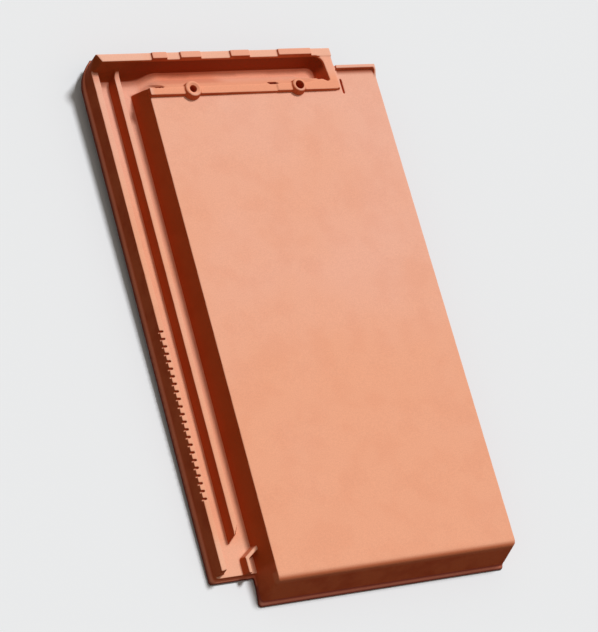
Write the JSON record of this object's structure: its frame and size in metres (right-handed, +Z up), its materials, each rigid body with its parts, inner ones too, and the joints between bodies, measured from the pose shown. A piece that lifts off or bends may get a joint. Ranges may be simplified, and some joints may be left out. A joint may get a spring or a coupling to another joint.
{
  "type": "interlocking clay roof tile",
  "caption": "Flat clay roof tile with ribbed side lock, head channel, overlapping cover strip, skirted nose and hanging lugs underneath.",
  "frame": {"origin": "centre of the bounding box in X and Y, at floor level, with the tile lying on its lugs and the foot of its nose", "axes": "+Z up, out of the tile's face; +Y from the nose to the head; +X from the side lock to the cover strip"},
  "size_m": [0.2836, 0.5088, 0.0474],
  "materials": {
    "fired_clay": "unglazed red clay, matt, lightly mottled from pink to peach"
  },
  "bodies": {
    "root": {"roof_tile": "fired_clay"}
  },
  "joints": []
}
